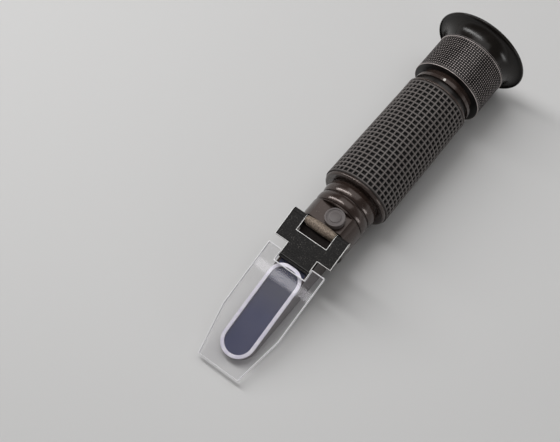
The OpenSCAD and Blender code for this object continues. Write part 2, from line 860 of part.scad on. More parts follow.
module eye_lens() {
    color([0.7, 0.78, 0.85, 0.4])
    plano_lens(ring_rear_x - seat_len + keeper_w, eye_t, 1);
}

module eye_lens_ring() {
    rear = ring_rear_x - seat_len;
    color([0.16, 0.16, 0.16])
    ring_x(rear, rear + keeper_w, eye_r, eye_r - spacer_wall);
}

// Toothed outline of the knurl
module knurl_outline() {
    polygon([for (i = [0:knurl_n - 1], j = [0:3])
        let (a = 360 * (i + [0, 0.35, 0.5, 0.85][j]) / knurl_n,
             r = ring_r - tip_drop - (j < 2 ? 0 : knurl_d))
        [r * cos(a), r * sin(a)]]);
}

module focusing_ring() {
    rim_in = ring_r - tip_drop - 2 * knurl_d;
    color([0.08, 0.08, 0.08])
    difference() {
        union() {
            translate([ring_rear_x + rim_w / 2, 0, 0])
                rotate([0, 90, 0])
                    linear_extrude(height = ring_len - rim_w)
                        knurl_outline();
            turned([[0, ring_rear_x], [ring_r - rim_chamfer, ring_rear_x],
                    [ring_r, ring_rear_x + rim_chamfer], [ring_r, ring_rear_x + rim_w],
                    [rim_in, ring_rear_x + rim_w], [rim_in, ring_front_x - rim_w],
                    [ring_r, ring_front_x - rim_w], [ring_r, ring_front_x - rim_chamfer],
                    [ring_r - rim_chamfer, ring_front_x], [0, ring_front_x]]);
            along_x(ring_rear_x - seat_len, ring_rear_x + hole_over, seat_r);
        }
        along_x(ring_rear_x - seat_len - hole_over, ring_front_x + hole_over, bush_r);
        along_x(ring_rear_x - seat_len - hole_over,
                ring_rear_x - seat_len + collar_t + draw_gap, collar_r + draw_gap);
        along_x(web_x, ring_front_x + hole_over, sleeve_r + sleeve_gap);
    }
}

module eyecup() {
    lip = cup_wall / 2;
    flare = cup_lip_r - cup_root_r;
    outer = [for (i = [0:arc_steps])
        let (t = 90 * i / arc_steps)
        [cup_root_r + (flare - lip) * (1 - cos(t)), ring_rear_x - (cup_len - lip) * sin(t)]];
    round_lip = [for (i = [0:arc_steps])
        let (t = 180 * i / arc_steps)
        [cup_lip_r - lip + lip * sin(t), cup_end_x + lip + lip * cos(t)]];
    inner = [for (i = [0:arc_steps])
        let (t = 90 * (1 - i / arc_steps))
        [seat_r + 1 + (cup_lip_r - lip - seat_r - 1) * (1 - cos(t)),
         ring_rear_x - seat_len + (cup_end_x - ring_rear_x + seat_len) * sin(t)]];
    color([0.05, 0.05, 0.05])
    turned(concat([[seat_r, ring_rear_x]], outer, round_lip, inner,
                  [[seat_r, ring_rear_x - seat_len]]));
}

prism_housing();
prism();
hinge_knuckle();
hinge_pin();
hinge_clip();
daylight_plate();
calibration_cap();
calibration_screw();
objective_cell();
cell_spring();
objective_lens();
objective_ring();
neck_sleeve();
aperture_stop();
body_tube();
grip_sleeve();
grip_front_ring();
grip_rear_ring();
reticle_cell();
reticle();
reticle_ring();
eyepiece_flange();
guide_screw();
draw_tube();
ring_clip();
field_lens();
lens_spacer();
eye_lens();
eye_lens_ring();
focusing_ring();
eyecup();
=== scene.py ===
"""Looks of a hand-held refractometer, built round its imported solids.

Sizes are written in millimetres in the row's frame: X along the optical axis from the eye to
the prism, Z out of the daylight plate. Each piece is scaled to metres when it is finished.
"""

import logging
import math
from collections.abc import Iterable, Sequence
from dataclasses import dataclass, field
from enum import Enum

import bmesh
import bpy
from mathutils import Matrix, Vector


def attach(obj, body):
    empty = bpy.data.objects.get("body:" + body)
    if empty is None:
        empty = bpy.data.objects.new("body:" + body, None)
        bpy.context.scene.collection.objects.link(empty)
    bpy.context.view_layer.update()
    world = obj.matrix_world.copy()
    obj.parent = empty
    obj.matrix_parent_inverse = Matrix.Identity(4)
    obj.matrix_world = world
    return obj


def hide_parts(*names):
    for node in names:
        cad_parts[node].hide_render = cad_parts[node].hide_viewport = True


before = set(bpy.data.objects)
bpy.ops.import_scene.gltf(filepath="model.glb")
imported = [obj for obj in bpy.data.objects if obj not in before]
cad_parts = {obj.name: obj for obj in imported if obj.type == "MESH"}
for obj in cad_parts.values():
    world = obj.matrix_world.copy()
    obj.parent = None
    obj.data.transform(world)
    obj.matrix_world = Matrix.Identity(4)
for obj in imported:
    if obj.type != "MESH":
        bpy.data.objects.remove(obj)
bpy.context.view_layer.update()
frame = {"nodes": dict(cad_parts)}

MM = 0.001
FULL_TURN = 2 * math.pi
WELD = 1e-4  # millimetres between points that are merged
SLACK = 0.05  # millimetres of slack where edges are picked by their place
LOG = logging.getLogger("refractometer")
Colour = tuple[float, float, float]
Station = tuple[float, float]


# ---------------------------------------------------------------- shader maths


class Signal:
    """A shader socket that can be used in Python expressions."""

    def __init__(self, board: "Board", socket: bpy.types.NodeSocket) -> None:
        """Keeps the socket and the board that its maths nodes are added to."""
        self.board = board
        self.socket = socket

    def _math(self, operation: str, *values: "float | Signal") -> "Signal":
        """Adds one Math node.

        Args:
            operation: The Math node's operation.
            values: Its inputs, in order.

        Returns:
            The node's value.
        """
        return self.board.add(
            "ShaderNodeMath", {"operation": operation}, dict(enumerate(values))
        )

    def __add__(self, other: "float | Signal") -> "Signal":
        """Sum."""
        return self._math("ADD", self, other)

    __radd__ = __add__

    def __sub__(self, other: "float | Signal") -> "Signal":
        """Difference."""
        return self._math("SUBTRACT", self, other)

    def __rsub__(self, other: "float | Signal") -> "Signal":
        """Difference with this value taken away."""
        return self._math("SUBTRACT", other, self)

    def __mul__(self, other: "float | Signal") -> "Signal":
        """Product."""
        return self._math("MULTIPLY", self, other)

    __rmul__ = __mul__

    def __truediv__(self, other: "float | Signal") -> "Signal":
        """Quotient."""
        return self._math("DIVIDE", self, other)

    def __pow__(self, other: "float | Signal") -> "Signal":
        """Power."""
        return self._math("POWER", self, other)

    def clipped(self) -> "Signal":
        """The value held between 0 and 1."""
        return self.board.add("ShaderNodeClamp", {}, {"Value": self, "Min": 0.0, "Max": 1.0})

    def above(self, low: float, high: float) -> "Signal":
        """A smooth step.

        Args:
            low: Value at which the step is 0.
            high: Value at which the step is 1.

        Returns:
            The step.
        """
        return self.board.add(
            "ShaderNodeMapRange",
            {"interpolation_type": "SMOOTHSTEP"},
            {"Value": self, "From Min": low, "From Max": high},
        )


class Board:
    """The node tree of one material or world."""

    def __init__(self, tree: bpy.types.NodeTree) -> None:
        """Empties the tree."""
        self.tree = tree
        tree.nodes.clear()

    def node(
        self,
        kind: str,
        settings: dict[str, object] | None = None,
        inputs: "dict[str | int, object] | None" = None,
    ) -> bpy.types.Node:
        """Adds any node.

        Args:
            kind: The node's type.
            settings: Its properties, set before its sockets. The key "stops" fills a ramp.
            inputs: Values or signals by socket name or number.

        Returns:
            The node.
        """
        node = self.tree.nodes.new(kind)
        for key, value in (settings or {}).items():
            if key == "stops":
                self._fill_ramp(node, value)
            else:
                setattr(node, key, value)
        for key, value in (inputs or {}).items():
            socket = node.inputs[key]
            if isinstance(value, Signal):
                self.tree.links.new(value.socket, socket)
            else:
                socket.default_value = value
        return node

    def add(
        self,
        kind: str,
        settings: dict[str, object] | None = None,
        inputs: "dict[str | int, object] | None" = None,
        output: str | int = 0,
    ) -> Signal:
        """Adds a node and gives back one of its outputs.

        Args:
            kind: The node's type.
            settings: Its properties.
            inputs: Values or signals by socket name or number.
            output: Name or number of the output.

        Returns:
            The output.
        """
        return Signal(self, self.node(kind, settings, inputs).outputs[output])

    @staticmethod
    def _fill_ramp(node: bpy.types.Node, stops: Sequence[tuple[float, Colour]]) -> None:
        """Sets a ramp's stops.

        Args:
            node: The Color Ramp node.
            stops: Places and colours, in order.
        """
        ramp = node.color_ramp
        while len(ramp.elements) < len(stops):
            ramp.elements.new(1.0)
        for element, (place, colour) in zip(ramp.elements, stops):
            element.position = place
            element.color = (*colour, 1.0)

    def place(self) -> Signal:
        """Object coordinates, in metres."""
        return self.add("ShaderNodeTexCoord", output="Object")

    def axis(self, name: str) -> Signal:
        """One coordinate of the surface in millimetres: X, Y or Z."""
        return self.add("ShaderNodeSeparateXYZ", {}, {0: self.place()}, name) / MM

    def attribute(self, name: str) -> Signal:
        """A painted value that the mesh carries."""
        return self.add("ShaderNodeAttribute", {"attribute_name": name}, {}, "Fac")

    def noise(
        self, grain: float, detail: float = 3.0, roughness: float = 0.55
    ) -> Signal:
        """Cloudy noise.

        Args:
            grain: Size of its blots in millimetres.
            detail: Octaves.
            roughness: Weight of the fine octaves.

        Returns:
            A value around 0.5.
        """
        return self.add(
            "ShaderNodeTexNoise",
            {},
            {
                "Vector": self.place(),
                "Scale": 1 / (grain * MM),
                "Detail": detail,
                "Roughness": roughness,
            },
        )

    def cells(self, grain: float, feature: str = "F1") -> Signal:
        """Cell noise.

        Args:
            grain: Size of its cells in millimetres.
            feature: The Voronoi node's feature.

        Returns:
            The distance value.
        """
        return self.add(
            "ShaderNodeTexVoronoi",
            {"feature": feature},
            {"Vector": self.place(), "Scale": 1 / (grain * MM)},
            "Distance",
        )

    def blend(
        self, share: "float | Signal", low: "Colour | Signal", high: "Colour | Signal"
    ) -> Signal:
        """Mixes two colours.

        Args:
            share: 0 gives the first, 1 the second.
            low: First colour.
            high: Second colour.

        Returns:
            The mixed colour.
        """
        sides = {6: low, 7: high}
        inputs = {k: (*v, 1.0) if isinstance(v, tuple) else v for k, v in sides.items()}
        return self.add("ShaderNodeMix", {"data_type": "RGBA"}, {0: share, **inputs}, 2)

    def relief(self, height: Signal, depth: float, strength: float = 1.0) -> Signal:
        """Turns heights into a bumped normal.

        Args:
            height: Heights from 0 to 1.
            depth: Real depth in millimetres.
            strength: Strength of the bump.

        Returns:
            The normal.
        """
        return self.add(
            "ShaderNodeBump",
            {},
            {"Strength": strength, "Distance": depth * MM, "Height": height},
            "Normal",
        )

    def principled(self, inputs: "dict[str | int, object]") -> None:
        """Closes a material with one Principled shader.

        Args:
            inputs: Values or signals by socket name.
        """
        shader = self.add("ShaderNodeBsdfPrincipled", {}, inputs, "BSDF")
        self.node("ShaderNodeOutputMaterial", {}, {"Surface": shader})


class Finish:
    """A procedural material that is made once and then shared."""

    name = "finish"

    def dress(self, board: Board) -> None:
        """Fills the material's node tree."""
        raise NotImplementedError

    def material(self) -> bpy.types.Material:
        """The Blender material, made at its first use.

        Returns:
            The material.
        """
        title = f"finish_{self.name}"
        found = bpy.data.materials.get(title)
        if found is not None:
            return found
        made = bpy.data.materials.new(title)
        made.use_nodes = True
        self.dress(Board(made.node_tree))
        return made


@dataclass(frozen=True)
class Lacquer(Finish):
    """Gloss black lacquer on turned metal, with fine wear on its edges, a warm tint as painted
    reflection and, where given, painted shade in a recess.
    """

    name: str = "gloss_lacquer"
    # Near-black lacquer; its warm brown cast is partly painted reflection of a brown room.
    colour: Colour = (0.024, 0.0152, 0.0122)
    dusty: Colour = (0.05, 0.037, 0.033)
    rubbed: Colour = (0.16, 0.15, 0.14)
    roughness: float = 0.2
    coat: float = 0.25
    # Painted reflection: a warm tint of the gloss that stands in for a brown room mirrored in the
    # lacquer.
    warm_reflection_tint: Colour = (1.0, 0.84, 0.78)
    # Painted shade: near-black for the recess under the clip, where shade falls.
    shadow: Colour = (0.003, 0.0025, 0.0025)
    recess: tuple[float, float, float] | None = None

    def _outside_painted_shade(self, board: Board) -> "Signal | float":
        """1 on the gloss, 0 in the recess under the clip, if it has one, where painted shade makes
        the lacquer near-black and matt.

        Args:
            board: The material's node tree.

        Returns:
            The share of gloss, 0 where the shade is painted.
        """
        if self.recess is None:
            return 1.0
        from_x, low, high = self.recess
        height = board.axis("Z")
        in_painted_shade = (
            board.axis("X").above(from_x, from_x + 0.1)
            * height.above(low - 0.1, low)
            * (1 - height.above(high, high + 0.1))
        )
        return 1 - in_painted_shade

    def dress(self, board: Board) -> None:
        """Lacquer with faint dust, handling marks and orange peel.

        Args:
            board: The material's empty node tree.
        """
        gloss = self._outside_painted_shade(board)
        dust = board.noise(6.0, 5.0).above(0.45, 0.8)
        marks = board.noise(0.9, 6.0, 0.7).above(0.4, 0.75)
        peel = board.noise(0.5, 2.0)
        edge = board.attribute("edge") * board.noise(0.7, 4.0).above(0.25, 0.7)
        colour = board.blend(dust * 0.6 * gloss, self.colour, self.dusty)
        # Painted shade: the recess under the clip is blended to near-black.
        if self.recess is not None:
            colour = board.blend(gloss, self.shadow, colour)
        board.principled(
            {
                "Base Color": board.blend(edge * 0.5, colour, self.rubbed),
                "Roughness": marks * 0.12 + self.roughness + (1 - gloss) * 0.7,
                "Specular Tint": (*self.warm_reflection_tint, 1.0),
                "Coat Weight": gloss * self.coat,
                "Coat Roughness": 0.1,
                "Normal": board.relief(peel, 0.006, 0.15),
            }
        )


@dataclass(frozen=True)
class Crinkle(Finish):
    """Black crinkle paint over sheet steel whose edges are rubbed bright."""

    name: str = "crinkle_paint"
    colour: Colour = (0.005, 0.0042, 0.004)
    # Painted glints: the lighter colour of the crinkle's crests.
    crest: Colour = (0.1, 0.09, 0.084)
    metal: Colour = (0.95, 0.94, 0.92)

    def dress(self, board: Board) -> None:
        """Wrinkles of paint, lighter crests in patches as painted glints, and bare rims.

        Args:
            board: The material's empty node tree.
        """
        wrinkle = board.cells(0.9, "DISTANCE_TO_EDGE").above(0.0, 0.35)
        fine = board.noise(0.5, 5.0, 0.7)
        patch = board.noise(3.0, 4.0).above(0.38, 0.62)
        edge = (
            board.attribute("edge") * board.noise(1.2, 3.0).above(0.1, 0.4)
        ).clipped()
        # Painted glints on the crests, stronger in patches.
        crest = fine.above(0.52, 0.7) * (patch * 0.8 + 0.2)
        paint = board.blend(crest, self.colour, self.crest)
        board.principled(
            {
                "Base Color": board.blend(edge, paint, self.metal),
                "Metallic": edge * 0.2,
                "Roughness": 0.6 - edge * 0.2 - crest * 0.15,
                "Specular IOR Level": 0.25,
                "Normal": board.relief(wrinkle * 0.4 + fine * 0.8, 0.16, 0.8),
            }
        )


@dataclass(frozen=True)
class MouldedRubber(Finish):
    """Soft black rubber, greyer where it is handled, and pale where a highlight is painted."""

    name: str = "moulded_rubber"
    colour: Colour = (0.022, 0.02, 0.019)
    wear_and_highlight: Colour = (0.09, 0.082, 0.078)
    roughness: float = 0.5
    grain: float = 0.25
    bloom: float = 0.35
    gloss: float = 0.5
    dull: float = 0.0

    def dress(self, board: Board) -> None:
        """Fine grain, bloom, and paler places: wear on the cup and cap, a painted highlight on the
        grip's crests.

        Args:
            board: The material's empty node tree.
        """
        bloom = board.noise(7.0, 5.0).above(0.35, 0.75)
        grain = board.noise(self.grain, 3.0)
        edge = board.attribute("edge")
        wear_and_highlight = (edge * 0.75 + bloom * self.bloom).clipped()
        board.principled(
            {
                "Base Color": board.blend(wear_and_highlight, self.colour, self.wear_and_highlight),
                "Roughness": bloom * 0.12 + self.roughness + (1 - edge) * self.dull,
                "Specular IOR Level": self.gloss,
                "Normal": board.relief(grain, 0.03, 0.5),
            }
        )


@dataclass(frozen=True)
class TurnedMetal(Finish):
    """Turned and coated metal with fine lines round its axis."""

    name: str = "turned_metal"
    colour: Colour = (0.03, 0.028, 0.027)
    bright: Colour = (0.3, 0.29, 0.28)
    metallic: float = 0.4
    roughness: float = 0.34
    line: float = 0.12
    across: str = "X"
    stain: float = 0.35
    blot: float = 4.0

    def dress(self, board: Board) -> None:
        """Lathe lines, rubbed edges, slight stains, and on the knurl a painted highlight on its
        studs.

        Args:
            board: The material's empty node tree.
        """
        stain = board.noise(self.blot, 4.0).above(0.35, 0.75)
        lines = board.add(
            "ShaderNodeTexNoise",
            {"noise_dimensions": "1D"},
            {"W": board.axis(self.across) / self.line, "Scale": 1.0, "Detail": 2.0},
        )
        edge = (board.attribute("edge") * board.noise(0.8, 4.0).above(-0.1, 0.5)).clipped()
        colour = board.blend(stain * self.stain, self.colour, self.bright)
        board.principled(
            {
                "Base Color": board.blend(edge, colour, self.bright),
                "Metallic": edge * 0.5 + self.metallic,
                "Roughness": stain * 0.12 + self.roughness,
                "Normal": board.relief(lines, 0.008, 0.6),
            }
        )


@dataclass(frozen=True)
class ClearAcrylic(Finish):
    """Clear acrylic sheet: see-through faces, and polished edges painted solid pale as a painted
    highlight.
    """

    name: str = "clear_acrylic"
    haze: float = 0.045
    body: Colour = (0.36, 0.32, 0.4)
    # Painted highlight: the pale colour of the solid rims.
    rim: Colour = (0.97, 0.96, 0.98)

    def dress(self, board: Board) -> None:
        """Gloss by angle over a see-through body, with haze, scratches and solid rims painted pale
        as a painted highlight.

        Args:
            board: The material's empty node tree.
        """
        smear = board.noise(9.0, 5.0).above(0.35, 0.8)
        scratch = board.noise(0.4, 6.0, 0.8).above(0.6, 0.9)
        edge = board.attribute("edge").clipped()
        facing = board.add("ShaderNodeLayerWeight", {}, {"Blend": 0.5}, "Facing")
        solid = (smear * 0.03 + edge * 0.85 + self.haze).clipped()
        mirror = (facing**5 * 0.96 + 0.04) * (1 - solid)
        share = solid + mirror
        metallic = mirror / share
        body = board.blend(edge, self.body, self.rim)
        board.principled(
            {
                "Base Color": board.blend(metallic, body, (1.0, 1.0, 1.0)),
                "Metallic": metallic,
                "Roughness": edge * 0.25 + scratch * 0.03 + 0.025,
                "Alpha": share,
                "Normal": board.relief(smear, 0.002, 0.1),
            }
        )


@dataclass(frozen=True)
class FrostedRim(Finish):
    """The pale bevel round the plate's oval pad."""

    name: str = "frosted_rim"
    colour: Colour = (0.95, 0.92, 0.99)
    shade: Colour = (0.8, 0.76, 0.9)

    def dress(self, board: Board) -> None:
        """Ground acrylic with slight unevenness.

        Args:
            board: The material's empty node tree.
        """
        cloud = board.noise(2.5, 5.0).above(0.3, 0.75)
        grain = board.noise(0.12, 3.0)
        board.principled(
            {
                "Base Color": board.blend(cloud, self.colour, self.shade),
                "Roughness": grain * 0.2 + 0.3,
                "Normal": board.relief(grain, 0.02, 0.4),
            }
        )


@dataclass(frozen=True)
class PrismGlass(Finish):
    """Ground blue glass, with a painted shadow of the clip's tongue at the hinge end, greyer next
    to it and deeper blue towards the tip.
    """

    name: str = "prism_glass"
    near: float = 40.0
    far: float = 78.0
    # The first, dark stop is a painted shadow of the clip's tongue on the prism.
    blues_with_painted_shadow: tuple[tuple[float, Colour], ...] = (
        (0.0, (0.016, 0.02, 0.065)),
        (0.18, (0.06, 0.063, 0.1)),
        (0.5, (0.04, 0.048, 0.12)),
        (1.0, (0.022, 0.03, 0.1)),
    )

    def dress(self, board: Board) -> None:
        """A run of blues along the prism that starts with a painted shadow, with a soft mottle.

        Args:
            board: The material's empty node tree.
        """
        along = (board.axis("X") - self.near) / (self.far - self.near)
        mottle = board.noise(2.2, 5.0, 0.6)
        run = (along + (mottle - 0.5) * 0.25).clipped()
        colour = board.add("ShaderNodeValToRGB", {"stops": self.blues_with_painted_shadow}, {"Fac": run}, "Color")
        board.principled(
            {
                "Base Color": colour,
                "Roughness": mottle * 0.1 + 0.12,
                "Coat Weight": 0.5,
                "Coat Roughness": 0.03,
                "Normal": board.relief(mottle, 0.01, 0.2),
            }
        )


@dataclass(frozen=True)
class LensGlass(Finish):
    """Coated optical glass with a dark barrel behind it."""

    name: str = "lens_glass"
    colour: Colour = (0.012, 0.014, 0.02)
    coating: Colour = (0.045, 0.03, 0.085)

    def dress(self, board: Board) -> None:
        """Deep, glossy glass with a violet coating that fades in blots.

        Args:
            board: The material's empty node tree.
        """
        blot = board.noise(5.0, 3.0)
        board.principled(
            {
                "Base Color": board.blend(blot * 0.6, self.colour, self.coating),
                "Roughness": blot * 0.03 + 0.03,
                "Coat Weight": 1.0,
                "Coat Roughness": 0.02,
            }
        )


class Look(Enum):
    """The finishes of this instrument."""

    LACQUER = Lacquer()
    # The head carries painted shade in the recess under the clip.
    HEAD = Lacquer("head_lacquer", recess=(17.02, 5.0, 7.35))
    CRINKLE = Crinkle()
    # The grip's pale colour is a painted highlight on the lattice's crests; its pits keep the
    # black.
    GRIP = MouldedRubber(
        "grip_rubber",
        colour=(0.003, 0.0026, 0.0024),
        wear_and_highlight=(0.27, 0.234, 0.22),
        roughness=0.26,
        grain=0.3,
        bloom=0.02,
        gloss=0.6,
        dull=0.6,
    )
    CUP = MouldedRubber(
        "cup_rubber",
        colour=(0.008, 0.0062, 0.005),
        wear_and_highlight=(0.02, 0.0165, 0.014),
        roughness=0.17,
        grain=0.4,
        bloom=0.35,
        gloss=0.28,
    )
    CAP = MouldedRubber(
        "cap_rubber",
        colour=(0.085, 0.071, 0.069),
        wear_and_highlight=(0.18, 0.155, 0.152),
        roughness=0.45,
        grain=0.3,
        bloom=0.5,
    )
    # The knurl's stud tops are painted in the bright colour as a painted highlight.
    KNURL = TurnedMetal(
        "knurled_ring",
        colour=(0.004, 0.0034, 0.0032),
        bright=(0.62, 0.55, 0.53),
        metallic=0.2,
        roughness=0.36,
        stain=0.02,
    )
    TUBE = TurnedMetal(
        "black_tube",
        colour=(0.012, 0.01, 0.009),
        bright=(0.06, 0.052, 0.047),
        metallic=0.25,
        roughness=0.28,
    )
    BRONZE = TurnedMetal(
        "blasted_bronze",
        colour=(0.13, 0.1, 0.075),
        bright=(0.42, 0.34, 0.27),
        metallic=0.35,
        roughness=0.6,
        line=0.3,
        across="Y",
        stain=0.9,
        blot=0.5,
    )
    BRASS = TurnedMetal(
        "turned_brass",
        colour=(0.55, 0.42, 0.18),
        bright=(0.75, 0.62, 0.35),
        metallic=0.95,
        roughness=0.28,
        line=0.1,
        across="Z",
    )
    STEEL = TurnedMetal(
        "satin_steel",
        colour=(0.5, 0.48, 0.45),
        bright=(0.7, 0.68, 0.65),
        metallic=0.95,
        roughness=0.3,
    )
    ACRYLIC = ClearAcrylic()
    RIM = FrostedRim()
    PRISM = PrismGlass()
    LENS = LensGlass()

    def material(self) -> bpy.types.Material:
        """The Blender material of this finish."""
        return self.value.material()


# ---------------------------------------------------------------- mesh work


def only(kind: type, items: Iterable[object]) -> list:
    """The items of one kind, out of what an operator gives back."""
    return [item for item in items if isinstance(item, kind)]


class Blank:
    """A piece in the making: a bmesh in millimetres and the steps that shape it."""

    def __init__(self) -> None:
        """Starts an empty mesh that carries the painted edge value."""
        self.mesh = bmesh.new()
        self.edge = self.mesh.loops.layers.float.new("edge")

    def lathe(self, profile: Iterable[Station], steps: int = 96, closed: bool = True) -> "Blank":
        """Turns a profile about the optical axis.

        Args:
            profile: Places along X and radii.
            steps: Sides of the round.
            closed: True where the profile runs back to its start.

        Returns:
            This blank.
        """
        points = [self.mesh.verts.new((x, 0.0, radius)) for x, radius in profile]
        pairs = list(zip(points, points[1:]))
        if closed:
            pairs.append((points[-1], points[0]))
        chain = [self.mesh.edges.new(pair) for pair in pairs]
        bmesh.ops.spin(
            self.mesh,
            geom=points + chain,
            cent=(0, 0, 0),
            axis=(1, 0, 0),
            dvec=(0, 0, 0),
            angle=FULL_TURN,
            steps=steps,
            use_merge=True,
            use_normal_flip=False,
            use_duplicate=False,
        )
        return self.tidy()

    def tidy(self) -> "Blank":
        """Merges doubles and turns all faces outwards.

        Returns:
            This blank.
        """
        bmesh.ops.remove_doubles(self.mesh, verts=self.mesh.verts, dist=WELD)
        bmesh.ops.recalc_face_normals(self.mesh, faces=self.mesh.faces)
        return self

    def open_edges(self) -> list[bmesh.types.BMEdge]:
        """Edges that have only one face."""
        return [edge for edge in self.mesh.edges if edge.is_boundary]

    def join_rims(self) -> "Blank":
        """Closes the mesh with a wall between its two open rims."""
        bmesh.ops.bridge_loops(self.mesh, edges=self.open_edges())
        return self.tidy()

    def sheet(self, outline: Sequence[Station], low: float, high: float) -> "Blank":
        """Raises a flat outline into a sheet.

        Args:
            outline: Corners in the plane.
            low: Height of the underside.
            high: Height of the top.

        Returns:
            This blank.
        """
        corners = [self.mesh.verts.new((x, y, low)) for x, y in outline]
        face = self.mesh.faces.new(corners)
        raised = bmesh.ops.extrude_face_region(self.mesh, geom=[face])["geom"]
        top = only(bmesh.types.BMVert, raised)
        bmesh.ops.translate(self.mesh, verts=top, vec=(0, 0, high - low))
        return self.tidy()

    def paint(self, faces: Iterable[bmesh.types.BMFace], value: float) -> None:
        """Sets the edge value of some faces.

        Args:
            faces: The faces.
            value: 0 for plain skin, up to 1 for a rubbed edge; on the grip, knurl and plate the
                same value paints a highlight.
        """
        for face in faces:
            for loop in face.loops:
                loop[self.edge] = value

    def sharp(self, degrees: float = 35.0) -> list[bmesh.types.BMEdge]:
        """Edges whose faces meet at more than an angle.

        Args:
            degrees: The angle.

        Returns:
            The edges.
        """
        limit = math.radians(degrees)
        return [
            edge
            for edge in self.mesh.edges
            if len(edge.link_faces) == 2 and edge.calc_face_angle(0.0) > limit
        ]

    def ease(
        self,
        width: float,
        segments: int = 2,
        edges: list[bmesh.types.BMEdge] | None = None,
        paint: float = 1.0,
    ) -> "Blank":
        """Rounds edges, as far as they leave room for it, and paints the rounding.

        Args:
            width: Width of the rounding.
            segments: Its segments.
            edges: The edges, or all sharp ones.
            paint: Edge value for the new faces.

        Returns:
            This blank.
        """
        made = bmesh.ops.bevel(
            self.mesh,
            geom=self.sharp() if edges is None else edges,
            offset=width,
            offset_type="OFFSET",
            segments=segments,
            profile=0.5,
            affect="EDGES",
            clamp_overlap=True,
            material=-1,
        )
        self.paint(made["faces"], paint)
        bmesh.ops.dissolve_degenerate(self.mesh, dist=WELD, edges=self.mesh.edges)
        return self

    def move(self, matrix: Matrix) -> "Blank":
        """Moves the whole mesh."""
        bmesh.ops.transform(self.mesh, matrix=matrix, verts=self.mesh.verts)
        return self

    def to_object(self, name: str, material: bpy.types.Material) -> bpy.types.Object:
        """Turns the mesh into an object in metres.

        Args:
            name: Name of the object.
            material: Its material.

        Returns:
            The object.
        """
        bmesh.ops.scale(self.mesh, vec=(MM, MM, MM), verts=self.mesh.verts)
        data = bpy.data.meshes.new(name)
        self.mesh.to_mesh(data)
        self.mesh.free()
        data.materials.append(material)
        made = bpy.data.objects.new(name, data)
        bpy.context.scene.collection.objects.link(made)
        return made

    def finish(
        self,
        name: str,
        body: str,
        look: Look,
        slot: str,
        replaces: Sequence[str] = (),
        smooth: float = 40.0,
    ) -> bpy.types.Object:
        """Makes the object, in metres.

        Args:
            name: Name of the piece.
            body: CAD body that it rides on.
            look: Its finish.
            slot: Name of a material slot; not used.
            replaces: CAD nodes that it stands for.
            smooth: Angle in degrees up to which edges shade smooth.

        Returns:
            The object.
        """
        limit = math.radians(smooth)
        for face in self.mesh.faces:
            face.smooth = True
        for edge in self.mesh.edges:
            edge.smooth = len(edge.link_faces) == 2 and edge.calc_face_angle(0.0) < limit
        made = self.to_object(name, look.material())
        even = made.modifiers.new("even_shading", "WEIGHTED_NORMAL")
        even.keep_sharp = True
        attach(made, body)
        if replaces:
            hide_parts(*replaces)
        LOG.info("%s: %d faces on %s", name, len(made.data.polygons), body)
        return made


def merged_copy(node: bpy.types.Object, flat: float) -> Blank:
    """Copies a CAD node's mesh, merged and with its flat faces joined.

    Args:
        node: The CAD node.
        flat: Angle in degrees below which faces count as one.

    Returns:
        The copy, in millimetres.
    """
    blank = Blank()
    blank.mesh.from_mesh(node.data)
    layers = blank.mesh.loops.layers.float
    blank.edge = layers.get("edge") or layers.new("edge")
    bmesh.ops.scale(blank.mesh, vec=(1 / MM, 1 / MM, 1 / MM), verts=blank.mesh.verts)
    bmesh.ops.remove_doubles(blank.mesh, verts=blank.mesh.verts, dist=1e-3)
    bmesh.ops.dissolve_limit(
        blank.mesh,
        angle_limit=math.radians(flat),
        verts=blank.mesh.verts,
        edges=blank.mesh.edges,
        use_dissolve_boundaries=False,
        delimit={"NORMAL"},
    )
    return blank


# ---------------------------------------------------------------- sub-assemblies


@dataclass(frozen=True)
class PlatePlane:
    """The sloping top plane of the clip and the daylight plate."""

    hinge_x: float = 19.3
    hinge_z: float = 9.45
    rise: float = 1.35
    slope: float = 15.4

    def matrix(self) -> Matrix:
        """Maps (along, across, above) on the plane to the row's frame.

        Returns:
            The transform.
        """
        return (
            Matrix.Translation((self.hinge_x, 0, self.hinge_z))
            @ Matrix.Rotation(math.radians(self.slope), 4, "Y")
            @ Matrix.Translation((0, 0, self.rise))
        )


def box(low: float, high: float, near: float, far: float) -> list[Station]:
    """Outline of a rectangle.

    Args:
        low: Its first end.
        high: Its second end.
        near: Its first side.
        far: Its second side.

    Returns:
        The corners, in order.
    """
    return [(low, near), (low, far), (high, far), (high, near)]


def stadium(
    rear: float, front: float, half: float, corner: float, steps: int = 12
) -> list[Station]:
    """Outline with rounded corners at the rear and a full round at the front.

    Args:
        rear: Rear end.
        front: Front end.
        half: Half width.
        corner: Radius of the rear corners.
        steps: Points in a quarter round.

    Returns:
        The corners, in order.
    """
    points: list[Station] = []
    for cx, cy, radius, start in (
        (front - half, 0.0, half, -90),
        (front - half, 0.0, half, 0),
        (rear + corner, half - corner, corner, 90),
        (rear + corner, -half + corner, corner, 180),
    ):
        for step in range(steps + 1):
            turn = math.radians(start + 90 * step / steps)
            point = (cx + radius * math.cos(turn), cy + radius * math.sin(turn))
            if not points or math.dist(points[-1], point) > 1e-3:
                points.append(point)
    if math.dist(points[0], points[-1]) < 1e-3:
        points.pop()
    return points


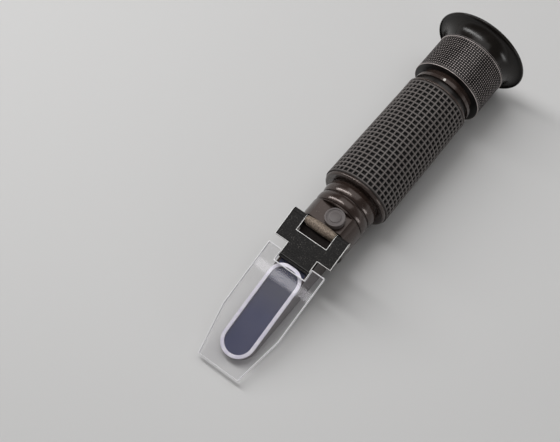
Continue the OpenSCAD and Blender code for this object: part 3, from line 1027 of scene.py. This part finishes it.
@dataclass
class Grip:
    """The rubber grip with its lattice of square pits, and the rings at its ends."""

    rear_x: float = -59.0
    front_x: float = -4.4
    rear_r: float = 14.2
    front_r: float = 15.0
    tube_r: float = 12.4
    rows: int = 24
    columns: int = 38
    margin: float = 0.65
    wall: float = 0.37
    pit_slope: float = 0.16
    pit_depth: float = 0.95
    wall_round: float = 0.3
    first_column: float = 5.5
    # Edge values of the painted highlight: full on the crests, less on the flanks and ends.
    crest_highlight: float = 1.0
    flank_highlight: float = 0.3
    end_highlight: float = 0.2
    end_round: float = 0.3
    shoulder: float = 0.25
    ring_bore: float = 10.9
    front_bead_x: float = -3.0
    front_bead_r: float = 14.5
    front_bead_ease: float = 0.9
    rear_bead_x: float = -60.0
    rear_bead_r: float = 14.3
    rear_bead_ease: float = 0.25

    def radius(self, x: float) -> float:
        """Radius of the grip's skin at a place along it."""
        share = (x - self.rear_x) / (self.front_x - self.rear_x)
        return self.rear_r + (self.front_r - self.rear_r) * share

    def sleeve(self) -> None:
        """Builds the pitted sleeve."""
        blank = Blank()
        low, high = self.rear_x + self.margin, self.front_x - self.margin
        stations = [low + (high - low) * i / self.rows for i in range(self.rows + 1)]
        profile = [(x, self.radius(x)) for x in stations]
        blank.lathe(profile, self.columns, closed=False)
        cells = list(blank.mesh.faces)
        bmesh.ops.inset_individual(
            blank.mesh, faces=cells, thickness=self.wall, depth=0.0, use_even_offset=True
        )
        bmesh.ops.inset_individual(
            blank.mesh,
            faces=cells,
            thickness=self.pit_slope,
            depth=-self.pit_depth,
            use_even_offset=True,
        )
        pits = {side for face in cells for edge in face.edges for side in edge.link_faces}
        # Painted highlight: the outer skin is painted for the pale colour, the pits stay black.
        blank.paint(blank.mesh.faces, self.crest_highlight)
        blank.paint(pits, 0.0)
        mouths = [e for e in blank.sharp(30) if not pits.issuperset(e.link_faces)]
        blank.ease(self.wall_round, 3, mouths, self.flank_highlight)
        self._ends(blank)
        blank.move(Matrix.Rotation(math.radians(-self.first_column), 4, "X"))
        blank.finish(
            "grip_lattice", "housing", Look.GRIP, "grip_rubber", ["grip_sleeve"], smooth=50
        )

    def _ends(self, blank: Blank) -> None:
        """Rounds the sleeve's shoulders, and closes its ends and its bore.

        Args:
            blank: The sleeve's pitted skin.
        """
        for end_x, inward in ((self.rear_x, 1), (self.front_x, -1)):
            reach = self.margin + SLACK
            rim = [
                edge
                for edge in blank.open_edges()
                if all(abs(vert.co.x - end_x) < reach for vert in edge.verts)
            ]
            for x, radius in (
                (end_x + inward * self.shoulder, self.radius(end_x)),
                (end_x, self.radius(end_x) - self.end_round),
                (end_x, self.tube_r),
            ):
                grown = bmesh.ops.extrude_edge_only(blank.mesh, edges=rim)["geom"]
                rim = only(bmesh.types.BMEdge, grown)
                blank.paint(only(bmesh.types.BMFace, grown), self.end_highlight)
                for vert in only(bmesh.types.BMVert, grown):
                    spoke = Vector((0, vert.co.y, vert.co.z)).normalized()
                    vert.co = Vector((x, spoke.y * radius, spoke.z * radius))
        blank.join_rims()

    def rings(self) -> None:
        """Builds the beads at both ends of the grip."""
        front = Blank().lathe(
            box(self.front_x, self.front_bead_x, self.ring_bore, self.front_bead_r)
        )
        outer = [e for e in front.sharp() if e.verts[0].co.yz.length > self.tube_r]
        rim = [e for e in outer if e.verts[0].co.x > self.front_x + self.front_bead_ease]
        front.ease(self.front_bead_ease, 5, rim, paint=0.2)
        front.finish("grip_front_bead", "housing", Look.LACQUER, "gloss_black", ["grip_front_ring"])
        rear = Blank().lathe(box(self.rear_bead_x, self.rear_x, self.tube_r, self.rear_bead_r))
        outer = [e for e in rear.sharp() if e.verts[0].co.yz.length > self.tube_r + SLACK]
        rear.ease(self.rear_bead_ease, 3, outer, paint=0.35)
        rear.finish("grip_rear_bead", "housing", Look.LACQUER, "gloss_black", ["grip_rear_ring"])

    def build(self) -> None:
        """Builds the grip."""
        self.sleeve()
        self.rings()


@dataclass
class Neck:
    """The grooved lacquered neck between the grip and the head."""

    band_r: float = 11.8
    groove_r: float = 10.9
    bore_r: float = 7.2
    crown: float = 0.5
    band_steps: int = 12
    bands: tuple[Station, Station] = ((-2.1, 2.7), (3.2, 7.6))
    rear_spigot: Station = (-10.4, 11.2)
    shoulder_x: float = -4.4
    head_x: float = 8.4
    front_spigot: Station = (10.6, 8.8)
    rim_ease: float = 0.2

    def _band(self, low: float, high: float) -> list[Station]:
        """One crowned band.

        Args:
            low: Its rear end along X.
            high: Its front end.

        Returns:
            Its profile, from groove to groove.
        """
        middle, half = (low + high) / 2, (high - low) / 2
        sides = [2 * i / self.band_steps - 1 for i in range(self.band_steps + 1)]
        crown = [(middle + side * half, self.band_r - self.crown * side**2) for side in sides]
        return [(low, self.groove_r), *crown, (high, self.groove_r)]

    def build(self) -> None:
        """Turns the neck sleeve with its two bands."""
        rear_x, rear_r = self.rear_spigot
        front_x, front_r = self.front_spigot
        profile = box(rear_x, self.shoulder_x, self.bore_r, rear_r)[:3]
        profile.append((self.shoulder_x, self.groove_r))
        for low, high in self.bands:
            profile += self._band(low, high)
        profile += [(self.head_x, self.groove_r), (self.head_x, front_r), (front_x, front_r)]
        profile.append((front_x, self.bore_r))
        blank = Blank().lathe(profile)
        crest = self.band_r - self.crown - SLACK
        rims = [e for e in blank.sharp(50) if min(v.co.yz.length for v in e.verts) > crest]
        blank.ease(self.rim_ease, 3, rims, paint=0.3)
        blank.finish("neck_bands", "housing", Look.LACQUER, "gloss_black", ["neck_sleeve"])


@dataclass
class Head:
    """The lacquered head and nose."""

    flat: float = 1.0

    def build(self, node: bpy.types.Object) -> None:
        """Copies the head's mesh, merged so that it shades evenly.

        Args:
            node: The head's CAD node.
        """
        blank = merged_copy(node, self.flat)
        blank.finish("lacquered_head", "housing", Look.HEAD, "gloss_black", ["prism_housing"])


@dataclass
class Eyepiece:
    """Knurled focusing ring and flared cup."""

    ring_front: float = -67.0
    ring_rear: float = -85.2
    ring_r: float = 15.7
    rim: float = 1.0
    root_r: float = 15.05
    stud_top: float = 15.58
    stud_gap: float = 0.16
    stud_slope: float = 0.14
    bore_r: float = 12.26
    columns: int = 90
    rows: int = 16
    cup_end: float = -93.1
    cup_root: float = 15.0
    cup_lip: float = 20.9
    cup_wall: float = 1.3
    seat_r: float = 12.6
    seat_len: float = 3.0
    thread_r: float = 10.25
    web: float = 3.0
    core_r: float = 14.75
    rim_ease: float = 0.2
    cup_sides: int = 120
    cup_steps: int = 14
    lip_steps: int = 8

    def _track(self) -> Station:
        """Both ends of the knurl, along X."""
        return self.ring_rear + self.rim, self.ring_front - self.rim

    def knurl(self) -> None:
        """Builds the focusing ring's band of square studs, closed by an inner wall."""
        blank = Blank()
        low, high = self._track()
        stations = [low + (high - low) * i / self.rows for i in range(self.rows + 1)]
        blank.lathe([(x, self.root_r) for x in stations], self.columns, closed=False)
        studs = list(blank.mesh.faces)
        bmesh.ops.inset_individual(
            blank.mesh, faces=studs, thickness=self.stud_gap, depth=0.0, use_even_offset=True
        )
        bmesh.ops.inset_individual(
            blank.mesh,
            faces=studs,
            thickness=self.stud_slope,
            depth=self.stud_top - self.root_r,
            use_even_offset=True,
        )
        # Painted highlight: the stud tops are painted for the ring's bright colour.
        blank.paint(studs, 0.7)
        grown = bmesh.ops.extrude_edge_only(blank.mesh, edges=blank.open_edges())["geom"]
        share = self.core_r / self.root_r
        inner = only(bmesh.types.BMVert, grown)
        bmesh.ops.scale(blank.mesh, vec=(1, share, share), verts=inner)
        blank.join_rims()
        blank.finish(
            "focus_knurl", "focus", Look.KNURL, "black_anodised", ["focusing_ring"], smooth=30
        )

    def core(self) -> None:
        """Builds the focusing ring's core, its two plain rims and the cup's seat."""
        low, high = self._track()
        seat_x, web_x = self.ring_rear - self.seat_len, self.ring_rear + self.web
        blank = Blank().lathe(
            [
                (seat_x, self.thread_r),
                (seat_x, self.seat_r),
                (self.ring_rear, self.seat_r),
                (self.ring_rear, self.ring_r),
                (low, self.ring_r),
                (low, self.core_r),
                (high, self.core_r),
                (high, self.ring_r),
                (self.ring_front, self.ring_r),
                (self.ring_front, self.bore_r),
                (web_x, self.bore_r),
                (web_x, self.thread_r),
            ]
        )
        outer = [e for e in blank.sharp() if e.verts[0].co.yz.length > self.root_r]
        blank.ease(self.rim_ease, 3, outer, paint=0.9)
        blank.finish("focus_ring_rims", "focus", Look.KNURL, "black_anodised", ["focusing_ring"])

    def _flare(self, root: Station, lip: Station) -> list[Station]:
        """A quarter of an ellipse, which opens from the root to the lip.

        Args:
            root: Its place and radius at the ring.
            lip: Its place and radius at the open end.

        Returns:
            Its profile.
        """
        turns = [math.pi / 2 * i / self.cup_steps for i in range(self.cup_steps + 1)]
        return [
            (
                root[0] + (lip[0] - root[0]) * math.sin(turn),
                root[1] + (lip[1] - root[1]) * (1 - math.cos(turn)),
            )
            for turn in turns
        ]

    def cup(self) -> None:
        """Builds the flared cup from its profile."""
        lip, seat_x = self.cup_wall / 2, self.ring_rear - self.seat_len
        lip_x, lip_r = self.cup_end + lip, self.cup_lip - lip
        outer = self._flare((self.ring_rear, self.cup_root), (lip_x, lip_r))
        inner = self._flare((seat_x, self.seat_r + 1), (self.cup_end, lip_r))
        turns = [math.pi * i / self.lip_steps for i in range(1, self.lip_steps + 1)]
        rounded = [(lip_x + lip * math.cos(t), lip_r + lip * math.sin(t)) for t in turns]
        profile = [(self.ring_rear, self.seat_r), *outer, *rounded, *reversed(inner[:-1])]
        profile.append((seat_x, self.seat_r))
        blank = Blank().lathe(profile, self.cup_sides)
        blank.finish("eye_cup", "focus", Look.CUP, "cup_rubber", ["eyecup"], smooth=50)

    def build(self) -> None:
        """Builds the eyepiece's outer pieces."""
        self.knurl()
        self.core()
        self.cup()


@dataclass
class Hinge:
    """The clip with its rolled ends, and the crowned barrel between them."""

    plane: PlatePlane = field(default_factory=PlatePlane)
    half: float = 13.4
    notch_half: float = 7.1
    notch: float = 5.9
    arm: float = 11.8
    step: float = 17.0
    tongue: float = 18.1
    thick: float = 1.2
    pocket: float = 1.6
    low_thick: float = 0.8
    low_ease: float = 0.12
    knuckle_r: float = 1.45
    bore_r: float = 0.8
    edge_ease: float = 0.22
    front_paint: float = 0.12
    lap: float = 0.8
    roll_y: float = 10.25
    roll_half: float = 3.05
    roll_ease: float = 0.15
    roll_sides: int = 40
    barrel_gap: float = 0.2
    barrel_r: float = 1.5
    barrel_crown: float = 0.6
    barrel_steps: int = 16
    barrel_sides: int = 48
    pin_r: float = 0.75
    foot_rear: float = 17.8
    foot_front: float = 20.8
    foot_half: float = 6.1
    foot_z: float = 5.3
    foot_sink: float = 1.0
    foot_ease: float = 0.2

    def _on_pin(self, y: float) -> Matrix:
        """Turns a lathed piece on to the hinge's pin, at a place across it."""
        place = Matrix.Translation((self.plane.hinge_x, y, self.plane.hinge_z))
        return place @ Matrix.Rotation(math.pi / 2, 4, "Z")

    def clip(self) -> None:
        """Builds the painted clip."""
        h, n = self.half, self.notch_half
        blank = Blank().sheet(
            [
                (0, n),
                (self.notch, n),
                (self.notch, -n),
                (0, -n),
                (0, -h),
                (self.arm, -h),
                (self.arm, -n),
                (self.step, -n),
                (self.step, n),
                (self.arm, n),
                (self.arm, h),
                (0, h),
            ],
            -self.thick,
            0.0,
        )
        blank.ease(self.edge_ease, 2)
        front = self.step - 2 * self.edge_ease
        tip = [f for f in blank.mesh.faces if f.calc_center_median().x > front]
        blank.paint(tip, self.front_paint)
        blank.move(self.plane.matrix())
        blank.finish(
            "clip_sheet", "plate", Look.CRINKLE, "crinkle_black", ["hinge_clip"], smooth=30
        )
        low = Blank().sheet(
            box(self.step - self.lap, self.tongue, -n, n),
            -self.pocket,
            -self.pocket + self.low_thick,
        )
        low.ease(self.low_ease, 2, paint=0.0)
        low.move(self.plane.matrix())
        low.finish(
            "clip_tongue_end", "plate", Look.CRINKLE, "crinkle_black", ["hinge_clip"], smooth=30
        )
        for side, name in ((-1, "right"), (1, "left")):
            roll = Blank().lathe(
                box(-self.roll_half, self.roll_half, self.bore_r, self.knuckle_r), self.roll_sides
            )
            roll.ease(self.roll_ease, 2)
            roll.move(self._on_pin(side * self.roll_y))
            roll.finish(f"clip_roll_{name}", "plate", Look.CRINKLE, "crinkle_black", ["hinge_clip"])

    def barrel(self) -> None:
        """Builds the crowned bronze barrel and its foot."""
        half = self.notch_half - self.barrel_gap
        sides = [2 * i / self.barrel_steps - 1 for i in range(self.barrel_steps + 1)]
        crown = [(u * half, self.barrel_r + self.barrel_crown * (1 - u * u)) for u in sides]
        profile = [(-half, self.pin_r), *crown, (half, self.pin_r)]
        blank = Blank().lathe(profile, self.barrel_sides)
        blank.ease(self.roll_ease, 2, paint=0.6)
        blank.move(self._on_pin(0.0))
        blank.finish("hinge_barrel", "housing", Look.BRONZE, "bronze", ["hinge_knuckle"])
        foot = Blank().sheet(
            box(self.foot_rear, self.foot_front, -self.foot_half, self.foot_half),
            self.foot_z,
            self.plane.hinge_z - self.foot_sink,
        )
        foot.ease(self.foot_ease, 2, paint=0.5)
        foot.finish("barrel_foot", "housing", Look.BRONZE, "bronze", ["hinge_knuckle"])

    def build(self) -> None:
        """Builds the hinge's visible pieces."""
        self.clip()
        self.barrel()


@dataclass
class DaylightPlate:
    """The clear plate, its oval pad and the pad's pale bevel."""

    plane: PlatePlane = field(default_factory=PlatePlane)
    back: float = 15.4
    straight: float = 30.0
    taper: float = 21.3
    half: float = 13.5
    tip_half: float = 9.6
    thick: float = 2.0
    notch_half: float = 7.2
    notch_end: float = 20.4
    rim_ease: float = 0.3
    side_highlight: float = 0.55
    pad_half: float = 7.3
    pad_back: float = 18.4
    pad_front: float = 60.9
    pad_thick: float = 0.8
    pad_corner: float = 6.4
    band: float = 1.5
    seam: float = 0.02
    band_ease: float = 0.2

    def sheet(self) -> None:
        """Builds the plate with its notch and tapered end."""
        end, kink = self.back + self.straight + self.taper, self.back + self.straight
        n = self.notch_half
        outline = [
            (self.back, -self.half),
            (kink, -self.half),
            (end, -self.tip_half),
            (end, self.tip_half),
            (kink, self.half),
            (self.back, self.half),
            (self.back, n),
            (self.notch_end, n),
            (self.notch_end, -n),
            (self.back, -n),
        ]
        blank = Blank().sheet(outline, -self.thick, 0.0)
        # Painted highlight: the plate's sides and eased rims are painted for the pale solid rim.
        blank.paint((f for f in blank.mesh.faces if abs(f.normal.z) < 0.5), self.side_highlight)
        blank.ease(self.rim_ease, 2)
        blank.move(self.plane.matrix())
        blank.finish(
            "plate_sheet", "plate", Look.ACRYLIC, "clear_acrylic", ["daylight_plate"], smooth=25
        )

    def pad(self) -> None:
        """Builds the oval pad's bevelled band below the plate."""
        outer = stadium(self.pad_back, self.pad_front, self.pad_half, self.pad_corner)
        blank = Blank()
        corners = [blank.mesh.verts.new((x, y, -self.thick - self.seam)) for x, y in outer]
        face = blank.mesh.faces.new(corners)
        face.normal_update()
        bmesh.ops.inset_region(
            blank.mesh,
            faces=[face],
            thickness=self.band,
            depth=0.0,
            use_boundary=True,
            use_even_offset=True,
        )
        bmesh.ops.delete(blank.mesh, geom=[face], context="FACES_ONLY")
        grown = bmesh.ops.extrude_face_region(blank.mesh, geom=list(blank.mesh.faces))["geom"]
        lower = only(bmesh.types.BMVert, grown)
        bmesh.ops.translate(blank.mesh, verts=lower, vec=(0, 0, -self.pad_thick + 2 * self.seam))
        blank.tidy()
        blank.ease(self.band_ease, 2)
        blank.move(self.plane.matrix())
        blank.finish(
            "pad_band", "plate", Look.RIM, "clear_acrylic", ["daylight_plate"], smooth=30
        )

    def build(self) -> None:
        """Builds the plate's pieces."""
        self.sheet()
        self.pad()


@dataclass
class Cap:
    """The small rubber cap over the calibration screw."""

    x: float = 13.05
    y: float = 2.1
    z: float = 9.2
    radius: float = 4.1
    height: float = 2.7
    disc_r: float = 2.4
    ring_r: float = 3.35
    groove: float = 0.35
    bore_r: float = 2.3
    bore_top: float = 1.3
    rim_ease: float = 0.18
    sides: int = 64

    def build(self) -> None:
        """Turns the cap and stands it on the milled flat."""
        top, disc = self.height, self.disc_r
        blank = Blank().lathe(
            [
                (0.0, self.bore_r),
                (0.0, self.radius),
                (top, self.radius),
                (top, self.ring_r),
                (top - self.groove, self.ring_r),
                (top - self.groove, disc),
                (top, disc),
                (top, 0.0),
                (self.bore_top, 0.0),
                (self.bore_top, self.bore_r),
            ],
            self.sides,
        )
        rims = [e for e in blank.sharp() if e.verts[0].co.x > self.bore_top + SLACK]
        blank.ease(self.rim_ease, 3, rims, paint=0.7)
        blank.move(
            Matrix.Translation((self.x, self.y, self.z)) @ Matrix.Rotation(-math.pi / 2, 4, "Y")
        )
        blank.finish("screw_cap", "cap", Look.CAP, "cap_rubber", ["calibration_cap"])


@dataclass
class CarriedNodes:
    """CAD nodes that stay as they are and get their finishes."""

    looks: dict[str, Look] = field(
        default_factory=lambda: {
            "prism": Look.PRISM,
            "hinge_pin": Look.STEEL,
            "calibration_screw": Look.BRASS,
            "objective_cell": Look.TUBE,
            "cell_spring": Look.STEEL,
            "objective_lens": Look.LENS,
            "objective_ring": Look.TUBE,
            "aperture_stop": Look.TUBE,
            "body_tube": Look.TUBE,
            "reticle_cell": Look.TUBE,
            "reticle": Look.LENS,
            "reticle_ring": Look.TUBE,
            "eyepiece_flange": Look.LACQUER,
            "guide_screw": Look.STEEL,
            "draw_tube": Look.TUBE,
            "ring_clip": Look.STEEL,
            "field_lens": Look.LENS,
            "lens_spacer": Look.TUBE,
            "eye_lens": Look.LENS,
            "eye_lens_ring": Look.TUBE,
        }
    )

    def dress(self, nodes: dict[str, bpy.types.Object]) -> None:
        """Gives each carried node its finish.

        Args:
            nodes: The frame's nodes by name.
        """
        for name, look in self.looks.items():
            data = nodes[name].data
            data.materials.clear()
            data.materials.append(look.material())
            LOG.info("%s: carried over with %s", name, look.name.lower())


# ---------------------------------------------------------------- studio


# Name, place, sides and watts. The strip is what the plate mirrors as its glare band.
LAMPS = (
    ("key", (-40, -400, 560), (110, 850), 3.5),
    ("top", (-270, 20, 600), (600, 640), 1.3),
    ("rim", (60, 620, 130), (120, 260), 0.5),
    ("strip", (142.6, -153, 575), (7.7, 300), 0.023),
)


@dataclass
class Studio:
    """Floor, soft lights and the camera at the photograph's angle."""

    tail: Vector = field(default_factory=lambda: Vector((-93.1, 0, -20.95)))
    nose: Vector = field(default_factory=lambda: Vector((78.0, 0, -11.05)))
    eye: Vector = field(default_factory=lambda: Vector((256.3, 156.6, 560.0)))
    right: Vector = field(default_factory=lambda: Vector((-0.6109, 0.7917, 0.0091)))
    down: Vector = field(default_factory=lambda: Vector((0.6998, 0.5453, -0.4614)))
    aim: Vector = field(default_factory=lambda: Vector((15, 0, 0)))
    focal_px: float = 1600.0
    frame_px: float = 560.0
    sensor: float = 36.0
    fill: float = 0.14
    backdrop: float = 0.75
    horizon: tuple[float, float] = (0.05, 0.45)
    floor_half: float = 3000.0
    floor_colour: Colour = (0.66, 0.655, 0.65)

    def floor(self) -> None:
        """A pale plane under the eye cup's rim and the nose."""
        blank = Blank()
        bmesh.ops.create_grid(blank.mesh, x_segments=1, y_segments=1, size=self.floor_half)
        run = self.nose - self.tail
        tilt = math.atan2(-run.z, run.x)
        blank.move(Matrix.Translation(self.tail) @ Matrix.Rotation(tilt, 4, "Y"))
        paint = bpy.data.materials.new("pale_floor")
        paint.use_nodes = True
        board = Board(paint.node_tree)
        board.principled(
            {
                "Base Color": (*self.floor_colour, 1.0),
                "Roughness": 0.9,
                "Specular IOR Level": 0.1,
            }
        )
        blank.to_object("floor", paint)

    def lamp(self, name: str, place: Sequence[float], size: Sequence[float], power: float) -> None:
        """Adds one soft light that faces the instrument.

        Args:
            name: Its name.
            place: Where it stands, in millimetres.
            size: Its sides along and across the instrument, in millimetres.
            power: Watts.
        """
        data = bpy.data.lights.new(name, "AREA")
        data.shape = "RECTANGLE"
        data.size, data.size_y = size[0] * MM, size[1] * MM
        data.energy = power
        lamp = bpy.data.objects.new(name, data)
        away = (Vector(place) - Vector(self.aim)).normalized()
        long = (Vector((0, 1, 0)) - away * away.y).normalized()
        turn = Matrix((long.cross(away), long, away)).transposed().to_4x4()
        lamp.matrix_world = Matrix.Translation(Vector(place) * MM) @ turn
        bpy.context.scene.collection.objects.link(lamp)

    def lights(self) -> None:
        """World light with a pale backdrop, and the four lamps."""
        world = bpy.data.worlds.new("studio")
        world.use_nodes = True
        bpy.context.scene.world = world
        board = Board(world.node_tree)
        height = board.add(
            "ShaderNodeSeparateXYZ",
            {},
            {0: board.add("ShaderNodeTexCoord", output="Generated")},
            "Z",
        )
        backdrop = (1 - height.above(*self.horizon)) * (self.backdrop - self.fill)
        seen = [
            board.add("ShaderNodeLightPath", output=f"Is {kind} Ray")
            for kind in ("Camera", "Glossy", "Transmission")
        ]
        strength = (seen[0] + seen[1] + seen[2]).clipped() * backdrop + self.fill
        glow = board.add("ShaderNodeBackground", {}, {"Color": (1, 1, 1, 1), "Strength": strength})
        board.node("ShaderNodeOutputWorld", {}, {"Surface": glow})
        for name, place, size, power in LAMPS:
            self.lamp(name, place, size, power)

    def camera(self) -> None:
        """The camera solved for the photograph."""
        data = bpy.data.cameras.new("photo_camera")
        data.sensor_width = self.sensor
        data.lens = self.focal_px / self.frame_px * self.sensor
        data.clip_start, data.clip_end = 0.05, 20.0
        camera = bpy.data.objects.new("photo_camera", data)
        right = self.right.normalized()
        up = -(self.down - right * self.down.dot(right)).normalized()
        back = right.cross(up)
        turn = Matrix((right, up, back)).transposed().to_4x4()
        camera.matrix_world = Matrix.Translation(self.eye * MM) @ turn
        bpy.context.scene.collection.objects.link(camera)
        bpy.context.scene.camera = camera

    def build(self) -> None:
        """Sets up the whole studio."""
        self.floor()
        self.lights()
        self.camera()
        bpy.context.scene.view_settings.view_transform = "Standard"


def main(loaded: dict) -> None:
    """Builds every sub-assembly in order.
    """
    logging.basicConfig(level=logging.INFO, format="%(message)s")
    CarriedNodes().dress(loaded["nodes"])
    Grip().build()
    Neck().build()
    Head().build(loaded["nodes"]["prism_housing"])
    Eyepiece().build()
    Hinge().build()
    DaylightPlate().build()
    Cap().build()
    Studio().build()


if __name__ == "__main__":
    main(frame)
